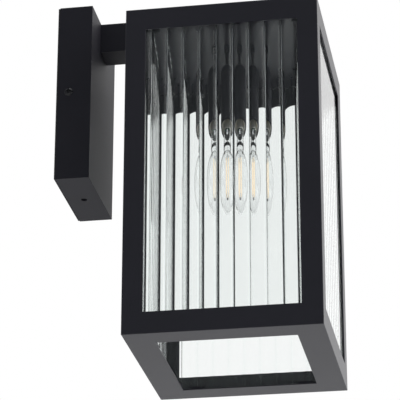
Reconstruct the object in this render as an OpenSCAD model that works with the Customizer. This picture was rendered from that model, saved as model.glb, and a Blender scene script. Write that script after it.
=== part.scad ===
// Outdoor wall lantern: a black sheet-steel cage with fluted glass on four sides and an open bottom,
// hung under a square arm that comes out of a shallow backplate.
// X runs along the wall, +Y points into the wall, +Z is up. The wall's surface is the plane y = 0,
// and the origin is at the middle of the wall bracket.

/* [Lantern cage] */
// Width of the cage along the wall
cage_w = 160; // [120:1:260]
// Depth of the cage, away from the wall
cage_d = 150; // [110:1:240]
// Height of the cage
cage_h = 268; // [230:1:420]
// Clear distance from the wall to the back of the cage
cage_gap = 63; // [45:1:120]
// Width of each corner post's two legs
post_leg = 16; // [10:0.5:24]
// Height of the roof's turned-down edge
top_rail_h = 18; // [12:0.5:30]
// Height of the bottom ring's upright edge
bottom_rail_h = 17; // [10:0.5:30]
// Width of the bottom ring's flat border
border_w = 22; // [17:0.5:32]
// Thickness of the cage's sheet steel
sheet_t = 1.2; // [0.8:0.1:2]

/* [Fluted glass] */
// Thickness of the glass at the ridges between its flutes
glass_t = 5; // [4:0.5:8]
// Distance from flute to flute
flute_pitch = 12.7; // [8:0.1:20]
// Depth of a flute's hollow
flute_depth = 1.5; // [0.8:0.1:2.5]
// How far the left pane's flutes sit off its middle, away from the wall
flute_shift = 1.9; // [-6:0.1:6]
// Space left between a pane and the metal around it
glass_gap = 0.4; // [0.2:0.1:1]
// Length of the small tabs that hold the panes
tab_len = 10; // [6:0.5:16]
// Height of the tabs on the bottom ring
low_tab_h = 6; // [4:0.5:12]
// Height of the tabs under the roof
high_tab_h = 12; // [8:0.5:20]

/* [Arm] */
// Width and height of the square arm
arm_size = 25; // [20:0.5:40]
// Wall of the square arm
arm_wall = 1.5; // [1:0.1:2.5]
// How far the arm runs on past the stem
arm_tail = 17; // [12:1:40]
// Distance from the backplate's top edge down to the arm
arm_below_edge = 1; // [0:0.5:10]
// Length of the tapped block in the arm's wall end
block_len = 6; // [4:0.5:12]
// Distance from the arm's middle to each of its two screws
arm_screw_x = 7.5; // [6.5:0.1:8]
// Radius of the arm screws' shanks
arm_screw_r = 1.5; // [1:0.1:2]
// Length of the arm cap's plug
cap_plug = 8; // [4:0.5:16]

/* [Backplate] */
// Width of the backplate
plate_w = 88; // [72:1:140]
// Height of the backplate
plate_h = 150; // [120:1:220]
// Depth of the backplate, with its gasket
plate_d = 28; // [22:1:40]
// Wall of the backplate
plate_wall = 1.2; // [0.8:0.1:2]
// Thickness of the foam gasket on the wall
gasket_t = 1.5; // [1:0.1:3]
// Width of the gasket's strip
gasket_w = 5; // [3:0.5:8]
// Distance from the wall to the side screws
side_screw_y = 10; // [8:0.5:14]
// Radius of the side screws' shanks
side_screw_r = 2; // [1.5:0.1:3]
// Radius of the side screws' domed heads
side_head_r = 3.6; // [2.6:0.1:5]
// Radius of the drain hole in the backplate's bottom
drain_r = 2.5; // [1.5:0.1:4]

/* [Wall bracket] */
// Thickness of the bracket's steel
bracket_t = 1.5; // [1:0.1:2.5]
// Width of the upright strap
strap_w = 30; // [28:1:40]
// Height of the upright strap
strap_h = 110; // [106:1:118]
// Height of the cross strap and its two ears
ear_h = 30; // [28:1:40]
// How far the ears stand off the wall
ear_len = 16; // [15:0.5:18]
// Distance from slot to slot
slot_spacing = 79.4; // [70:0.1:84]
// Length of each slot from end to end
slot_len = 14.5; // [8:0.5:18]
// Half the width of each slot
slot_r = 2.5; // [2:0.1:3]
// Radius of the hole for the supply wires
wire_hole_r = 10; // [6:0.5:11]

/* [Lampholder] */
// Radius of the threaded stem
stem_r = 4.85; // [4:0.05:6]
// Radius of the stem's wire bore
stem_bore = 3.3; // [2.9:0.1:3.5]
// Distance from the roof's top down to the lampholder's rim
rim_drop = 72; // [66:1:120]
// Radius of the black cup round the lampholder
cup_r = 21.5; // [20:0.5:30]
// Height of the cup
cup_h = 48; // [46:1:56]
// Wall of the cup and of its turned-in rim
cup_t = 1; // [0.6:0.1:1.5]
// Width of the turned-in rim
cup_lip = 3; // [2:0.5:4]
// Depth of the ceramic body's face behind the rim
face_depth = 2.5; // [2:0.5:6]
// Length of the ceramic body
holder_len = 34; // [32:1:40]
// Inner radius of the threaded shell
shell_in_r = 13.5; // [13.3:0.1:14]
// Depth from the lampholder's rim to its centre contact
contact_depth = 22; // [20:0.5:24]

/* [Bulb] */
// Largest radius of the glass bulb
bulb_r = 26; // [18:0.5:32]
// Length of the glass below the metal base
bulb_glass_len = 67.5; // [60:0.5:90]
// Radius of the curve between the bulb's round part and its neck
shoulder_r = 6; // [3:0.5:12]
// Thickness of the bulb's glass
bulb_wall = 0.8; // [0.6:0.1:1.2]
// Radius of the threaded base
base_r = 13; // [12.6:0.1:13.1]
// Length of the metal base, from contact to glass
base_len = 26; // [25:0.5:28]
// Distance from the metal base down to the light filaments
filament_drop = 22; // [16:1:30]
// Length of a light filament
filament_len = 31; // [20:1:38]
// Number of filaments
filament_count = 4; // [2:1:6]
// Radius of the ring that the filaments stand in
filament_ring = 5; // [4:0.5:9]

/* [Wiring] */
// Radius of an insulated wire
wire_r = 1.1; // [0.8:0.1:1.3]
// Distance from the arm's middle to each lamp wire
wire_x = 1.5; // [1.4:0.1:1.7]

/* [Hidden] */

// Facets of every round surface
$fn = 64;
// Overlap that keeps cuts clean
cut = 1;
// Space between a screw's shank and the hole it is screwed into
thread_gap = 0.05;
// Space around a shank in a plain hole
hole_gap = 0.3;
// Sides of a wire, how far from a corner its bend starts, and a direction that no wire sets out in
wire_sides = 10;
wire_bend = 3;
wire_across = [1, 0.3, 0.1];
// Space between pieces that fit in each other
fit_gap = 0.2;

// Heights of the main levels
plate_top = plate_h / 2;
arm_top = plate_top - arm_below_edge;
cage_top = arm_top - arm_size;
cage_bottom = cage_top - cage_h;
arm_mid = arm_top - arm_size / 2;
roof_under = cage_top - sheet_t;
// Places across the wall
cage_back = -cage_gap;
cage_front = cage_back - cage_d;
lamp_y = (cage_back + cage_front) / 2;
arm_end = lamp_y - arm_tail;
// Insides of the frame and of the glass
in_x = cage_w / 2 - sheet_t - glass_gap;
in_back = cage_back - sheet_t - glass_gap;
in_front = cage_front + sheet_t + glass_gap;
pane_low = cage_bottom + sheet_t + glass_gap;
pane_high = roof_under - glass_gap;
side_pane_w = in_back - in_front;
end_pane_w = 2 * (in_x - glass_t - glass_gap);
tab_gap = 0.1;
// Bracket, its ears' distance from the backplate's walls, and the gasket's from the backplate's edge
ear_gap = 0.5;
ear_x = plate_w / 2 - plate_wall - ear_gap;
gasket_inset = 0.3;
ground_x = -24;
boss_r = 5;
boss_h = 3;
// Screw heads: radius and height, and the cross recess as shares of them
ground_r = 2;
ground_head = [4, 2.2];
side_head_h = 1.8;
side_shank = 7;
arm_head = [2.6, 1.8];
recess_reach = 0.55;
recess_half = 0.1;
recess_floor = 0.4;
shank_short = 0.5;
// Ring terminals: thickness, width of the ring, half the tongue's width, and the barrel
terminal_t = 0.8;
terminal_rim = 2.2;
tongue_half = 1.8;
tongue_len = 4;
barrel_r = 1.9;
barrel_len = 5;
barrel_mouth = 1;
// Nuts on the stem
nut_af = 14;
nut_h = 4;
washer_r = 10;
washer_t = 1.2;
stem_past_nut = 1.5;
// Arm cap's wall behind the plug's hollow
plug_wall = 2;
plug_floor = 1;
// Lampholder levels
rim_z = cage_top - rim_drop;
cup_top = rim_z + cup_h;
face_z = rim_z + face_depth;
holder_r = cup_r - cup_t - fit_gap;
holder_top = face_z + holder_len;
contact_z = rim_z + contact_depth;
contact_to_floor = 5;
floor_z = contact_z + contact_to_floor;
shell_t = 0.5;
shell_inset = 1.5;
wire_hole_x = 8;
hub_wall = 1.8;
hub_h = 4;
stem_past_cup = 2;
stem_low = cup_top - cup_t - stem_past_cup;
button_r = 4;
button_h = 0.8;
rivet_r = 1.6;
// Bulb levels, from the contact downwards
contact_gap = 0.3;
bulb_top = contact_z - contact_gap;
solder_r = 4.8;
contact_h = 2;
insulator_h = 3;
insulator_top_r = 5.5;
base_shoulder = 1;
base_top = bulb_top - contact_h - insulator_h;
glass_top = bulb_top - base_len;
glass_bottom = glass_top - bulb_glass_len;
neck_step = 0.8;
neck_r = base_r - neck_step;
neck_in_base = 2;
base_wall = 0.4;
// Driver board: half thickness, half width, and distance from both ends of the base
board_half = [0.8, 8];
board_inset = 3;
// Filaments, the bearing of the first, the glass mount that carries them, and their wires
filament_r = 1.2;
filament_bearing = 45;
filament_top = glass_top - filament_drop;
filament_low = filament_top - filament_len;
foot_drop = 2;
foot_z = filament_low - foot_drop;
foot_h = 1.5;
foot_rim = 0.4;
flare_r = 5;
flare_h = 4;
rod_r = 1.1;
lead_r = 0.3;
lead_gap = 0.2;
lead_rise = 4;
// Wiring: loose ends of the lamp wires, connectors, and how far routes stay from each other
lead_x = 13;
lead_y = -plate_d / 2;
lead_low = 8;
lead_turn = 18;
lead_swing = 2;
bend_spare = 1;
bore_spare = 2;
connector_r = [3.5, 6];
connector_h = 22;
connector_low = -12;
connector_bore = 8;
connector_mouth = 15;
connector_mouth_r = 3;
wire_apart = 1.7;
ground_turn = [24, 14];
ground_steps = [20, 13, 6];

// A block between two corners
module block(low, high) {
    translate(low) cube(high - low);
}

// A cylinder along Y, from y0 back to y1
module rod_y(x, z, y0, y1, r) {
    translate([x, y0, z]) rotate([90, 0, 0]) cylinder(h = y0 - y1, r = r);
}

// A cylinder along X, from x0 up to x1
module rod_x(y, z, x0, x1, r) {
    translate([x0, y, z]) rotate([0, 90, 0]) cylinder(h = x1 - x0, r = r);
}

// A round bar from point to point
module bar(a, b, r) {
    d = b - a;
    span = norm(d);
    translate(a) rotate([0, acos(d[2] / span), atan2(d[1], d[0])]) cylinder(h = span, r = r, $fn = 24);
}

function unit(v) = v / norm(v);

// A route with each corner rounded by five points on a parabola, which starts and ends bend from it
function rounded(p, bend) = concat([p[0]],
    [for (i = [1:len(p) - 2]) let (back = unit(p[i - 1] - p[i]), on = unit(p[i + 1] - p[i]))
        for (t = [0:0.25:1]) p[i] + bend * (pow(1 - t, 2) * back + pow(t, 2) * on)],
    [p[len(p) - 1]]);

// Direction of a route at point i
function tangent(p, i) = unit(p[min(i + 1, len(p) - 1)] - p[max(i - 1, 0)]);

// A list from its last item to its first
function reversed(list) = [for (i = [len(list) - 1:-1:0]) list[i]];

// The part of v that stands square to the unit vector t, at length 1
function square_to(v, t) = unit(v - (v * t) * t);

// A wire: rings of wire_sides points, square to the rounded route and carried along it without twist
module wire(points) {
    p = rounded(points, wire_bend);
    last = len(p) - 1;
    across = [for (i = 0, n = square_to(wire_across, tangent(p, 0)); i <= last;
        i = i + 1, n = i > last ? n : square_to(n, tangent(p, i))) n];
    rings = [for (i = [0:last], k = [0:wire_sides - 1]) let (turn = 360 * k / wire_sides)
        p[i] + wire_r * (cos(turn) * across[i] + sin(turn) * cross(tangent(p, i), across[i]))];
    sides = [for (i = [0:last - 1], k = [0:wire_sides - 1]) let (m = (k + 1) % wire_sides)
        [i * wire_sides + k, (i + 1) * wire_sides + k, (i + 1) * wire_sides + m, i * wire_sides + m]];
    ends = [[for (k = [0:wire_sides - 1]) k], [for (k = [wire_sides - 1:-1:0]) last * wire_sides + k]];
    polyhedron(rings, concat(sides, ends));
}

// A domed screw along +Z: its head stands on z = 0 and its shank runs down
module dome_screw(r, head_r, head_h, shank) {
    dome_r = (head_r * head_r + head_h * head_h) / (2 * head_h);
    difference() {
        union() {
            translate([0, 0, -shank]) cylinder(h = shank, r = r);
            intersection() {
                translate([0, 0, head_h - dome_r]) sphere(r = dome_r);
                cylinder(h = head_h, r = head_r);
            }
        }
        for (turn = [0, 90])
            rotate([0, 0, turn])
                block([-head_r * recess_reach, -head_r * recess_half, head_h * recess_floor],
                    [head_r * recess_reach, head_r * recess_half, head_h + cut]);
    }
}

// A ring terminal flat on z = 0, with its crimped barrel towards +Y
module ring_terminal(hole_r) {
    barrel_y = hole_r + tongue_len;
    difference() {
        union() {
            cylinder(h = terminal_t, r = hole_r + terminal_rim);
            block([-tongue_half, 0, 0], [tongue_half, barrel_y, terminal_t]);
            translate([0, barrel_y, barrel_r]) rotate([-90, 0, 0]) cylinder(h = barrel_len, r = barrel_r);
        }
        translate([0, 0, -cut]) cylinder(h = terminal_t + 2 * cut, r = hole_r);
        translate([0, barrel_y + barrel_mouth, barrel_r]) rotate([-90, 0, 0])
            cylinder(h = barrel_len, r = wire_r + thread_gap);
    }
}

// A hexagon nut on z = 0 that fits the stem
module hex_nut() {
    difference() {
        cylinder(h = nut_h, r = nut_af / sqrt(3), $fn = 6);
        translate([0, 0, -cut]) cylinder(h = nut_h + 2 * cut, r = stem_r + thread_gap);
    }
}

// A slot through the bracket, upright, centred on height z
module bracket_slot(z) {
    reach = slot_len / 2 - slot_r;
    for (s = [-1, 1]) rod_y(0, z + s * reach, cut, -bracket_t - cut, slot_r);
    block([-slot_r, -bracket_t - cut, z - reach], [slot_r, cut, z + reach]);
}

// Stamped cross: an upright slotted strap and a cross strap with a boss for the earth screw
module wall_bracket() {
    color("silver")
    difference() {
        union() {
            block([-strap_w / 2, -bracket_t, -strap_h / 2], [strap_w / 2, 0, strap_h / 2]);
            block([-ear_x, -bracket_t, -ear_h / 2], [ear_x, 0, ear_h / 2]);
            rod_y(ground_x, 0, 0, -boss_h, boss_r);
        }
        rod_y(0, 0, cut, -bracket_t - cut, wire_hole_r);
        for (s = [-1, 1]) bracket_slot(s * slot_spacing / 2);
        rod_y(ground_x, 0, cut, -boss_h - cut, ground_r + thread_gap);
    }
}

// Two tapped ears welded upright on the ends of the cross strap
module bracket_ears() {
    color("silver")
    difference() {
        for (s = [-1, 1])
            translate([s * (ear_x - bracket_t / 2), 0, 0])
                block([-bracket_t / 2, -ear_len, -ear_h / 2], [bracket_t / 2, -bracket_t, ear_h / 2]);
        rod_x(-side_screw_y, 0, -ear_x - cut, ear_x + cut, side_screw_r + thread_gap);
    }
}

// Green earth screw in the bracket's boss
module ground_screw() {
    color("green")
    translate([ground_x, -boss_h - terminal_t, 0]) rotate([90, 0, 0])
        dome_screw(ground_r, ground_head[0], ground_head[1], boss_h + terminal_t - shank_short);
}

// Ring terminal under the earth screw, with its barrel upwards
module ground_terminal() {
    color("gold")
    translate([ground_x, -boss_h, 0]) rotate([90, 0, 0]) ring_terminal(ground_r + thread_gap);
}

// Foam strip between the backplate's rim and the wall
module gasket() {
    color("dimgray")
    difference() {
        block([-plate_w / 2 + gasket_inset, -gasket_t, -plate_h / 2 + gasket_inset],
            [plate_w / 2 - gasket_inset, 0, plate_h / 2 - gasket_inset]);
        block([-plate_w / 2 + gasket_w, -gasket_t - cut, -plate_h / 2 + gasket_w],
            [plate_w / 2 - gasket_w, cut, plate_h / 2 - gasket_w]);
        block([-ear_x - fit_gap, -gasket_t - cut, -ear_h / 2 - fit_gap], [ear_x + fit_gap, cut, ear_h / 2 + fit_gap]);
    }
}

// Five-sided pan, open to the wall, with holes for its side screws, the arm and its drain
module backplate() {
    color("#222226")
    difference() {
        block([-plate_w / 2, -plate_d, -plate_h / 2], [plate_w / 2, -gasket_t, plate_h / 2]);
        block([-plate_w / 2 + plate_wall, -plate_d + plate_wall, -plate_h / 2 + plate_wall],
            [plate_w / 2 - plate_wall, cut, plate_h / 2 - plate_wall]);
        rod_x(-side_screw_y, 0, -plate_w / 2 - cut, plate_w / 2 + cut, side_screw_r + hole_gap);
        rod_y(0, arm_mid, 0, -plate_d - cut, block_bore());
        for (s = [-1, 1]) rod_y(s * arm_screw_x, arm_mid, 0, -plate_d - cut, arm_screw_r + hole_gap);
        translate([0, -(gasket_t + plate_d) / 2, -plate_h / 2 - cut]) cylinder(h = plate_wall + 2 * cut, r = drain_r);
    }
}

// Radius of the wire hole through the backplate and the arm's block
function block_bore() = wire_x + wire_r + bore_spare;

// Two domed screws that hold the backplate to the bracket's ears
module side_screws() {
    color("#222226")
    for (s = [-1, 1])
        translate([s * plate_w / 2, -side_screw_y, 0]) rotate([0, s * 90, 0])
            dome_screw(side_screw_r, side_head_r, side_head_h, side_shank);
}

// Tapped block in the arm's wall end
module arm_block() {
    half = arm_size / 2 - arm_wall - fit_gap / 2;
    color("gray")
    difference() {
        block([-half, -plate_d - block_len, arm_mid - half], [half, -plate_d, arm_mid + half]);
        rod_y(0, arm_mid, 0, -plate_d - block_len - cut, block_bore());
        for (s = [-1, 1])
            rod_y(s * arm_screw_x, arm_mid, 0, -plate_d - block_len - cut, arm_screw_r + thread_gap);
    }
}

// Two screws from inside the backplate into the arm's block
module arm_screws() {
    color("silver")
    for (s = [-1, 1])
        translate([s * arm_screw_x, -plate_d + plate_wall, arm_mid]) rotate([-90, 0, 0])
            dome_screw(arm_screw_r, arm_head[0], arm_head[1], plate_wall + block_len - shank_short);
}

// Square tube from the backplate over the roof's middle
module arm_tube() {
    inner = arm_size / 2 - arm_wall;
    color("#1c1c20")
    difference() {
        block([-arm_size / 2, arm_end, cage_top], [arm_size / 2, -plate_d, arm_top]);
        block([-inner, arm_end - cut, arm_mid - inner], [inner, -plate_d + cut, arm_mid + inner]);
        translate([0, lamp_y, cage_top - cut]) cylinder(h = arm_wall + 2 * cut, r = stem_r + hole_gap);
    }
}

// Plug that closes the arm's free end
module arm_cap() {
    half = arm_size / 2;
    plug = half - arm_wall - fit_gap / 2;
    hollow = plug - plug_wall;
    color("#1c1c20")
    difference() {
        union() {
            block([-half, arm_end - arm_wall, cage_top], [half, arm_end, arm_top]);
            block([-plug, arm_end, arm_mid - plug], [plug, arm_end + cap_plug, arm_mid + plug]);
        }
        block([-hollow, arm_end + plug_floor, arm_mid - hollow], [hollow, arm_end + cap_plug + cut, arm_mid + hollow]);
    }
}

// Nut inside the arm, on the stem's ring terminal
module arm_nut() {
    color("silver")
    translate([0, lamp_y, cage_top + arm_wall + terminal_t]) hex_nut();
}

// Threaded pipe that ties arm, roof and lampholder together and carries the wires
module stem() {
    high = cage_top + arm_wall + terminal_t + nut_h + stem_past_nut;
    color("goldenrod")
    translate([0, lamp_y, stem_low])
        difference() {
            cylinder(h = high - stem_low, r = stem_r);
            translate([0, 0, -cut]) cylinder(h = high - stem_low + 2 * cut, r = stem_bore);
        }
}

// Earth terminal round the stem, under the arm's nut
module stem_terminal() {
    color("gold")
    translate([0, lamp_y, cage_top + arm_wall]) ring_terminal(stem_r + thread_gap);
}

// Roof plate with its edge turned down all round
module roof_pan() {
    color("#222226")
    difference() {
        block([-cage_w / 2, cage_front, cage_top - top_rail_h], [cage_w / 2, cage_back, cage_top]);
        block([-cage_w / 2 + sheet_t, cage_front + sheet_t, cage_top - top_rail_h - cut],
            [cage_w / 2 - sheet_t, cage_back - sheet_t, roof_under]);
        translate([0, lamp_y, roof_under - cut]) cylinder(h = sheet_t + 2 * cut, r = stem_r + hole_gap);
    }
}

// Washer under the roof
module roof_washer() {
    color("silver")
    translate([0, lamp_y, roof_under - washer_t])
        difference() {
            cylinder(h = washer_t, r = washer_r);
            translate([0, 0, -cut]) cylinder(h = washer_t + 2 * cut, r = stem_r + hole_gap);
        }
}

// Nut that clamps the roof up against the arm
module roof_nut() {
    color("silver")
    translate([0, lamp_y, roof_under - washer_t - nut_h]) hex_nut();
}

// Steel angle in one corner: side is -1 left or 1 right, end is -1 front or 1 back
module post(side, end) {
    edge_x = side * cage_w / 2;
    edge_y = end > 0 ? cage_back : cage_front;
    color("#222226")
    translate([edge_x, edge_y, cage_bottom + bottom_rail_h])
        mirror([side > 0 ? 1 : 0, 0, 0]) mirror([0, end > 0 ? 1 : 0, 0])
            linear_extrude(cage_h - top_rail_h - bottom_rail_h)
                difference() {
                    square(post_leg);
                    translate([sheet_t, sheet_t]) square(post_leg);
                }
}

module post_back_left() post(-1, 1);
module post_back_right() post(1, 1);
module post_front_left() post(-1, -1);
module post_front_right() post(1, -1);

// Bottom ring: an upright edge all round and a flat border that the panes stand on
module bottom_ring() {
    color("#38383c")
    difference() {
        block([-cage_w / 2, cage_front, cage_bottom], [cage_w / 2, cage_back, cage_bottom + bottom_rail_h]);
        block([-cage_w / 2 + sheet_t, cage_front + sheet_t, cage_bottom + sheet_t],
            [cage_w / 2 - sheet_t, cage_back - sheet_t, cage_bottom + bottom_rail_h + cut]);
        block([-cage_w / 2 + border_w, cage_front + border_w, cage_bottom - cut],
            [cage_w / 2 - border_w, cage_back - border_w, cage_bottom + sheet_t + cut]);
    }
}

// Fluted pane of width w, standing on z = 0 and centred on x = 0, with its flat face on y = 0 and its
// flutes towards +Y. Each flute is hollowed by a circle of radius flute_r, and one is shift off the middle.
module pane(w, shift) {
    flute_r = (flute_pitch * flute_pitch / 4 + flute_depth * flute_depth) / (2 * flute_depth);
    count = ceil(w / flute_pitch / 2) + 1;
    linear_extrude(pane_high - pane_low)
        difference() {
            translate([-w / 2, 0]) square([w, glass_t]);
            for (i = [-count:count])
                translate([shift + i * flute_pitch, glass_t - flute_depth + flute_r]) circle(r = flute_r, $fn = 128);
        }
}

module glass_left() {
    color("#d8e8e0", 0.4) translate([-in_x, lamp_y, pane_low]) rotate([0, 0, -90]) pane(side_pane_w, flute_shift);
}
module glass_right() {
    color("#d8e8e0", 0.4) translate([in_x, lamp_y, pane_low]) rotate([0, 0, 90]) pane(side_pane_w, 0);
}
module glass_back() {
    color("#d8e8e0", 0.4) translate([0, in_back, pane_low]) rotate([0, 0, 180]) pane(end_pane_w, 0);
}
module glass_front() {
    color("#d8e8e0", 0.4) translate([0, in_front, pane_low]) pane(end_pane_w, 0);
}

// Eight angle tabs against the panes' inner faces: rise is the upright leg, from z = 0 upwards,
// and foot is 1 when the other leg is at the bottom or 0 when it is at the top
module tabs(rise, foot) {
    leg_z = foot > 0 ? 0 : rise - sheet_t;
    side_x = in_x - glass_t - tab_gap;
    end_y = cage_d / 2 - sheet_t - glass_gap - glass_t - tab_gap;
    reach_x = cage_w / 2 - border_w;
    reach_y = cage_d / 2 - border_w;
    for (s = [-1, 1], t = [-1, 1]) translate([0, lamp_y, 0]) {
        mirror([s > 0 ? 1 : 0, 0, 0]) translate([-side_x, t * (reach_y - tab_len), 0]) {
            block([0, -tab_len / 2, 0], [sheet_t, tab_len / 2, rise]);
            block([0, -tab_len / 2, leg_z], [side_x - reach_x, tab_len / 2, leg_z + sheet_t]);
        }
        mirror([0, s > 0 ? 1 : 0, 0]) translate([t * (reach_x - tab_len), -end_y, 0]) {
            block([-tab_len / 2, 0, 0], [tab_len / 2, sheet_t, rise]);
            block([-tab_len / 2, 0, leg_z], [tab_len / 2, end_y - reach_y, leg_z + sheet_t]);
        }
    }
}

module roof_tabs() {
    color("#222226") translate([0, 0, roof_under - high_tab_h]) tabs(high_tab_h, 0);
}
module ring_tabs() {
    color("#222226") translate([0, 0, cage_bottom + sheet_t]) tabs(low_tab_h, 1);
}

// Black cup round the lampholder, with a turned-in rim and a threaded hub for the stem
module holder_cup() {
    color("#1c1c20")
    translate([0, lamp_y, 0])
        difference() {
            union() {
                translate([0, 0, rim_z]) cylinder(h = cup_h, r = cup_r);
                translate([0, 0, cup_top]) cylinder(h = hub_h, r = stem_r + hub_wall);
            }
            translate([0, 0, rim_z + cup_t]) cylinder(h = cup_h - 2 * cup_t, r = cup_r - cup_t);
            translate([0, 0, rim_z - cut]) cylinder(h = cup_t + 2 * cut, r = cup_r - cup_lip);
            translate([0, 0, cup_top - cup_t - cut]) cylinder(h = cup_t + hub_h + 2 * cut, r = stem_r + thread_gap);
        }
}

// Ceramic body, open at its face, with two wire holes through its floor
module holder_body() {
    color("#8a8578")
    translate([0, lamp_y, 0])
        difference() {
            translate([0, 0, face_z]) cylinder(h = holder_len, r = holder_r);
            translate([0, 0, face_z - cut]) cylinder(h = floor_z - face_z + cut, r = shell_in_r + shell_t + fit_gap);
            for (s = [-1, 1])
                translate([s * wire_hole_x, 0, floor_z - cut]) cylinder(h = holder_len, r = wire_r + hole_gap);
        }
}

// Threaded brass shell with an inward flange at its top
module holder_shell() {
    top = floor_z - fit_gap;
    low = face_z + shell_inset;
    color("gold")
    translate([0, lamp_y, 0])
        difference() {
            translate([0, 0, low]) cylinder(h = top - low, r = shell_in_r + shell_t);
            translate([0, 0, low - cut]) cylinder(h = top - low - shell_t + cut, r = shell_in_r);
            translate([0, 0, top - shell_t - cut])
                cylinder(h = shell_t + 2 * cut, r = wire_hole_x + wire_r + hole_gap + fit_gap);
        }
}

// Centre contact: a button on a rivet in the body's floor
module holder_contact() {
    color("gold")
    translate([0, lamp_y, contact_z]) {
        cylinder(h = button_h, r = button_r);
        cylinder(h = floor_z - contact_z, r = rivet_r);
    }
}

// A lamp wire: side is -1 or 1
module lamp_wire(side) {
    x = side * wire_x;
    hole_x = side * wire_hole_x;
    loose_x = side * lead_x;
    cross_z = holder_top + wire_bend + bend_spare;
    wire([[loose_x, lead_y, lead_low], [loose_x, lead_y, arm_mid - lead_turn], [x, lead_y - lead_swing, arm_mid],
        [x, lamp_y, arm_mid], [x, lamp_y, cross_z], [hole_x, lamp_y, cross_z], [hole_x, lamp_y, floor_z - fit_gap]]);
}

module wire_live() {
    color("black") lamp_wire(-1);
}
module wire_neutral() {
    color("white") lamp_wire(1);
}

// Earth wire from the bracket's screw through the arm to the stem
module wire_ground() {
    run_z = arm_mid - wire_r - wire_apart;
    low_y = -boss_h - barrel_r;
    far_z = cage_top + arm_wall + barrel_r;
    stem_face = lamp_y + stem_r;
    color("green")
    wire([[ground_x, low_y, ground_r + tongue_len + barrel_mouth + fit_gap], [ground_x, low_y, arm_mid - ground_turn[0]],
        [ground_x, lead_y, arm_mid - ground_turn[1]], [0, lead_y + wire_hole_x, run_z],
        [0, stem_face + ground_steps[0], run_z], [0, stem_face + ground_steps[1], far_z],
        [0, stem_face + ground_steps[2], far_z]]);
}

// Two twist-on connectors on the lamp wires' free ends
module wire_connectors() {
    color("orange")
    for (s = [-1, 1])
        translate([s * lead_x, lead_y, connector_low])
            difference() {
                cylinder(h = connector_h, r1 = connector_r[0], r2 = connector_r[1]);
                translate([0, 0, connector_mouth]) cylinder(h = connector_h, r = wire_r + connector_mouth_r);
                translate([0, 0, connector_bore]) cylinder(h = connector_h, r = wire_r + fit_gap);
            }
}

// Solder contact on the bulb's end
module bulb_contact() {
    rim = contact_h * recess_floor;
    color("silver")
    translate([0, lamp_y, bulb_top - contact_h])
        rotate_extrude() polygon([[0, 0], [solder_r, 0], [solder_r, rim], [solder_r - contact_h + rim, contact_h],
            [0, contact_h]]);
}

// Black glass ring between contact and threaded base
module bulb_insulator() {
    color("#15151a")
    translate([0, lamp_y, base_top]) cylinder(h = insulator_h, r1 = base_r - base_shoulder, r2 = insulator_top_r);
}

// Threaded base: a thin shell closed at its top
module bulb_base() {
    color("silver")
    translate([0, lamp_y, glass_top])
        difference() {
            cylinder(h = base_top - glass_top, r = base_r);
            translate([0, 0, -cut]) cylinder(h = base_top - glass_top - base_wall + cut, r = base_r - base_wall);
        }
}

// Driver board inside the base
module bulb_driver() {
    color("darkgreen")
    translate([0, lamp_y, 0])
        block([-board_half[0], -board_half[1], glass_top + board_inset],
            [board_half[0], board_half[1], base_top - board_inset]);
}

// Outline of the bulb at depth t under its surface: a circle from the lowest point up to where a smaller
// circle, curved the other way, leads into the straight neck
function bulb_outline(t) =
    let (rise = sqrt(pow(bulb_r + shoulder_r, 2) - pow(neck_r + shoulder_r, 2)),
        meet = atan2(rise, neck_r + shoulder_r), steps = 16)
    concat(
        [for (i = [0:steps]) let (a = -90 + (meet + 90) * i / steps)
            [(bulb_r - t) * cos(a), bulb_r + (bulb_r - t) * sin(a)]],
        [for (i = [1:steps / 2]) let (a = meet * (1 - 2 * i / steps))
            [neck_r + shoulder_r - (shoulder_r + t) * cos(a), bulb_r + rise - (shoulder_r + t) * sin(a)]],
        [[neck_r - t, bulb_glass_len + neck_in_base]]);

// Hollow glass, with its neck in the base
module bulb_glass() {
    color("white", 0.3)
    translate([0, lamp_y, glass_bottom])
        rotate_extrude() polygon(concat(bulb_outline(0), reversed(bulb_outline(bulb_wall))));
}

// Glass mount: a flare in the neck and a rod down the middle
module bulb_stem() {
    color("white", 0.5)
    translate([0, lamp_y, 0]) {
        translate([0, 0, glass_top - flare_h]) cylinder(h = flare_h + neck_in_base, r1 = rod_r, r2 = flare_r);
        translate([0, 0, foot_z]) cylinder(h = glass_top - flare_h - foot_z, r = rod_r);
    }
}

// Places its children at each filament's bearing
module at_filaments() {
    for (i = [0:filament_count - 1])
        translate([0, lamp_y, 0]) rotate([0, 0, filament_bearing + 360 * i / filament_count]) children();
}

// Straight light filaments in a ring
module bulb_filaments() {
    color("khaki")
    at_filaments() translate([filament_ring, 0, filament_low]) cylinder(h = filament_len, r = filament_r, $fn = 24);
}

// Thin wires from the rod to both ends of each filament, and a ring round the rod's foot
module bulb_leads() {
    color("dimgray") {
        translate([0, lamp_y, foot_z - foot_h]) cylinder(h = foot_h, r = rod_r + foot_rim);
        at_filaments() {
            bar([rod_r / 2, 0, foot_z - foot_h / 2], [filament_ring, 0, filament_low - lead_gap], lead_r);
            bar([rod_r + lead_r, 0, filament_top + lead_rise], [filament_ring, 0, filament_top + lead_gap], lead_r);
        }
    }
}

wall_bracket();
bracket_ears();
ground_screw();
ground_terminal();
gasket();
backplate();
side_screws();
arm_block();
arm_screws();
arm_tube();
arm_cap();
arm_nut();
stem();
stem_terminal();
roof_pan();
roof_washer();
roof_nut();
post_back_left();
post_back_right();
post_front_left();
post_front_right();
bottom_ring();
glass_left();
glass_right();
glass_back();
glass_front();
roof_tabs();
ring_tabs();
holder_cup();
holder_body();
holder_shell();
holder_contact();
wire_live();
wire_neutral();
wire_ground();
wire_connectors();
bulb_contact();
bulb_insulator();
bulb_base();
bulb_driver();
bulb_glass();
bulb_stem();
bulb_filaments();
bulb_leads();
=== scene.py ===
# Outdoor wall lantern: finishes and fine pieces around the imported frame.
import math

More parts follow.
